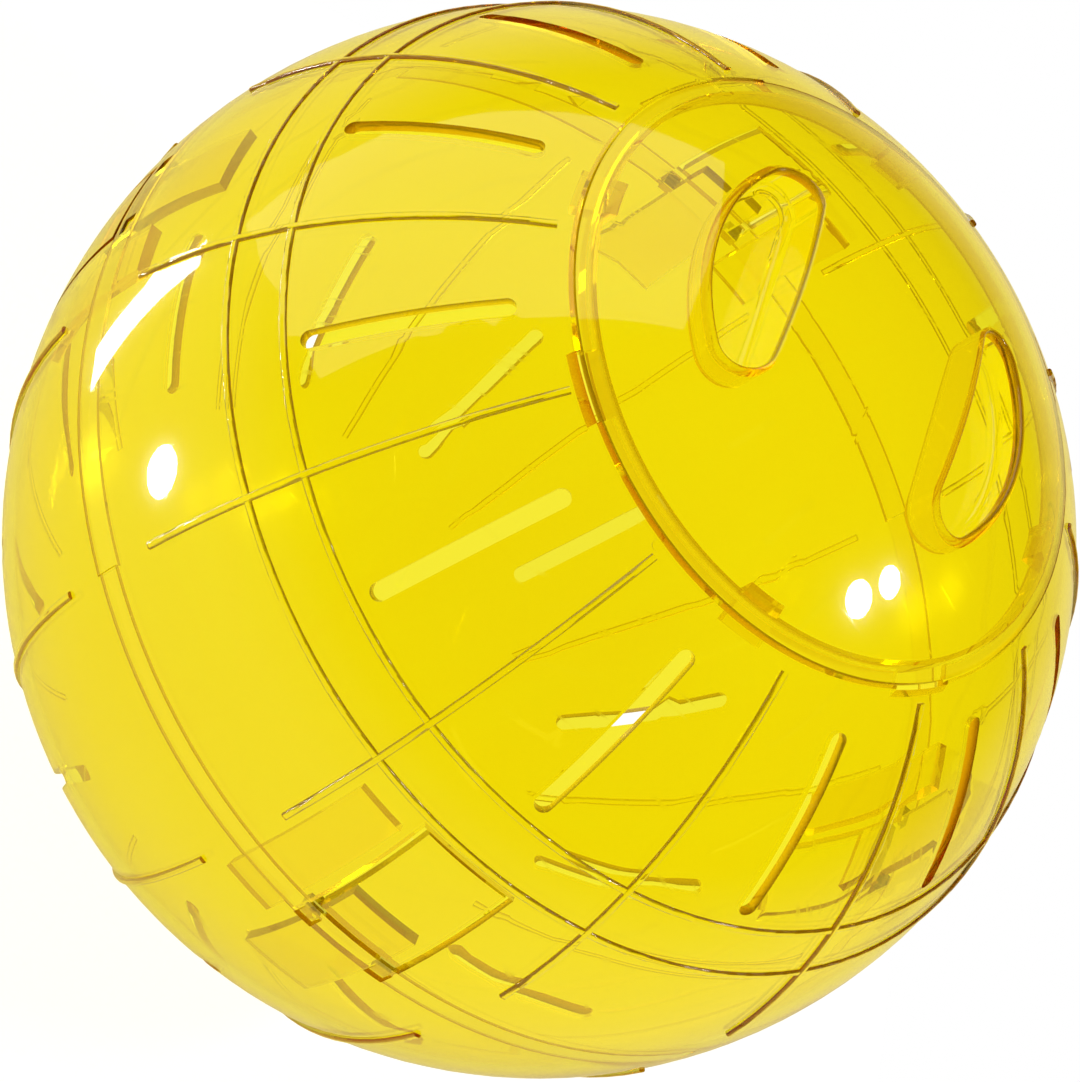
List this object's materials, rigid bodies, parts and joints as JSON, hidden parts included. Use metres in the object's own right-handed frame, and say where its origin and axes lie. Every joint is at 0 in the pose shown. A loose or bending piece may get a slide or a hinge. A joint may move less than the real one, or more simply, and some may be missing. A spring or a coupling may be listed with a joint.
{
  "type": "hamster ball",
  "caption": "Clear yellow exercise ball for a small pet: two vented half shells joined by press latches, with a twist-off lid that has two finger pockets.",
  "frame": {"origin": "centre of the ball", "axes": "+Z through the middle of the lid, +X through a latch of the upper half"},
  "size_m": [0.18, 0.18, 0.18],
  "materials": {
    "shell_plastic": "clear glossy moulded polystyrene, tinted yellow",
    "lid_plastic": "clear glossy moulded polystyrene, tinted yellow",
    "latch_plastic": "clear glossy moulded polystyrene, tinted yellow"
  },
  "bodies": {
    "shell": {"upper_half_shell": "shell_plastic", "lower_half_shell": "shell_plastic"},
    "lid": {"lid": "lid_plastic"},
    "upper_latch_front": {"upper_latch_front": "latch_plastic"},
    "upper_latch_rear": {"upper_latch_rear": "latch_plastic"},
    "lower_latch_right": {"lower_latch_right": "latch_plastic"},
    "lower_latch_left": {"lower_latch_left": "latch_plastic"}
  },
  "joints": [
    {"name": "lid_twist", "type": "hinge", "parent": "shell", "child": "lid", "pos_m": [0, 0, 0.0722], "axis": [0, 0, 1], "range_deg": [0, 39.7]},
    {"name": "upper_front_press", "type": "hinge", "parent": "shell", "child": "upper_latch_front", "pos_m": [0.08412, 0, 0.02907], "axis": [0, 1, 0], "range_deg": [0, 5.5], "stiffness_Nm_per_rad": 2},
    {"name": "upper_rear_press", "type": "hinge", "parent": "shell", "child": "upper_latch_rear", "pos_m": [-0.08412, 0, 0.02907], "axis": [0, -1, 0], "range_deg": [0, 5.5], "stiffness_Nm_per_rad": 2},
    {"name": "lower_right_press", "type": "hinge", "parent": "shell", "child": "lower_latch_right", "pos_m": [0, 0.08412, -0.02907], "axis": [1, 0, 0], "range_deg": [0, 5.5], "stiffness_Nm_per_rad": 2},
    {"name": "lower_left_press", "type": "hinge", "parent": "shell", "child": "lower_latch_left", "pos_m": [0, -0.08412, -0.02907], "axis": [-1, 0, 0], "range_deg": [0, 5.5], "stiffness_Nm_per_rad": 2}
  ]
}
